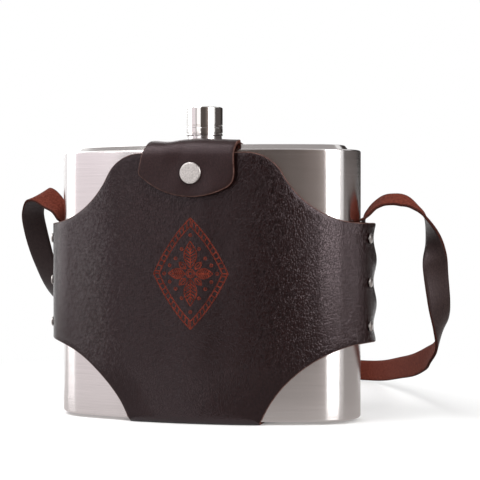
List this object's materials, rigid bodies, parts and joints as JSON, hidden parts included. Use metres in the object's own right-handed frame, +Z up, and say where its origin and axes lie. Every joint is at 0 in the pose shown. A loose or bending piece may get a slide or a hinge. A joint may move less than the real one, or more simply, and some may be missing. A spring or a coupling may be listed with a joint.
{
  "type": "hip flask",
  "caption": "Kidney-shaped steel hip flask with a screw cap, in a riveted leather holster with a snap flap and a shoulder strap.",
  "frame": {"origin": "On the surface it stands on, under the leather of the base, straight below the neck's axis.", "axes": "+X along the width to the viewer's right, +Y from front to back, +Z up along the neck."},
  "size_m": [0.3003, 0.3011, 0.2017],
  "materials": {
    "brushed_steel": "brushed stainless steel, fine horizontal grain",
    "polished_steel": "polished stainless steel",
    "liner": "moulded, matt",
    "gasket": "soft silicone",
    "hide": "dark brown pebble-grain cowhide, waxed",
    "strap_hide": "dark grain outside, red-brown flesh side",
    "nickel": "satin nickel plate"
  },
  "bodies": {
    "holstered_flask": {"body_shell": "brushed_steel", "top_plate": "brushed_steel", "base_plate": "brushed_steel", "neck": "brushed_steel", "holster_wrap": "hide", "flap_top": "hide", "snap_stud": "nickel", "snap_post": "nickel", "right_rivet_caps": "nickel", "right_rivet_posts": "nickel", "left_rivet_caps": "nickel", "left_rivet_posts": "nickel", "strap_end_right": "strap_hide", "strap_end_left": "strap_hide", "strap": "strap_hide"},
    "cap_seal": {"cap_gasket": "gasket"},
    "cap": {"cap_shell": "polished_steel", "cap_liner": "liner"},
    "tongue": {"flap_tongue": "hide", "snap_cap": "nickel", "snap_socket": "nickel", "snap_spring": "nickel"}
  },
  "joints": [
    {"name": "cap_lift", "type": "slide", "parent": "holstered_flask", "child": "cap_seal", "axis": [0, 0, 1], "range_m": [0, 0.024]},
    {"name": "cap_turn", "type": "hinge", "parent": "cap_seal", "child": "cap", "pos_m": [0, 0, 0.19], "axis": [0, 0, 1], "range_deg": [0, 2160]},
    {"name": "tongue_fold", "type": "hinge", "parent": "holstered_flask", "child": "tongue", "pos_m": [0, -0.0346, 0.1721], "axis": [-1, 0, 0], "range_deg": [0, 120]}
  ],
  "couplings": [
    {"joint": "cap_lift", "follows": "cap_turn", "m_per_rad": 0.00063662}
  ]
}
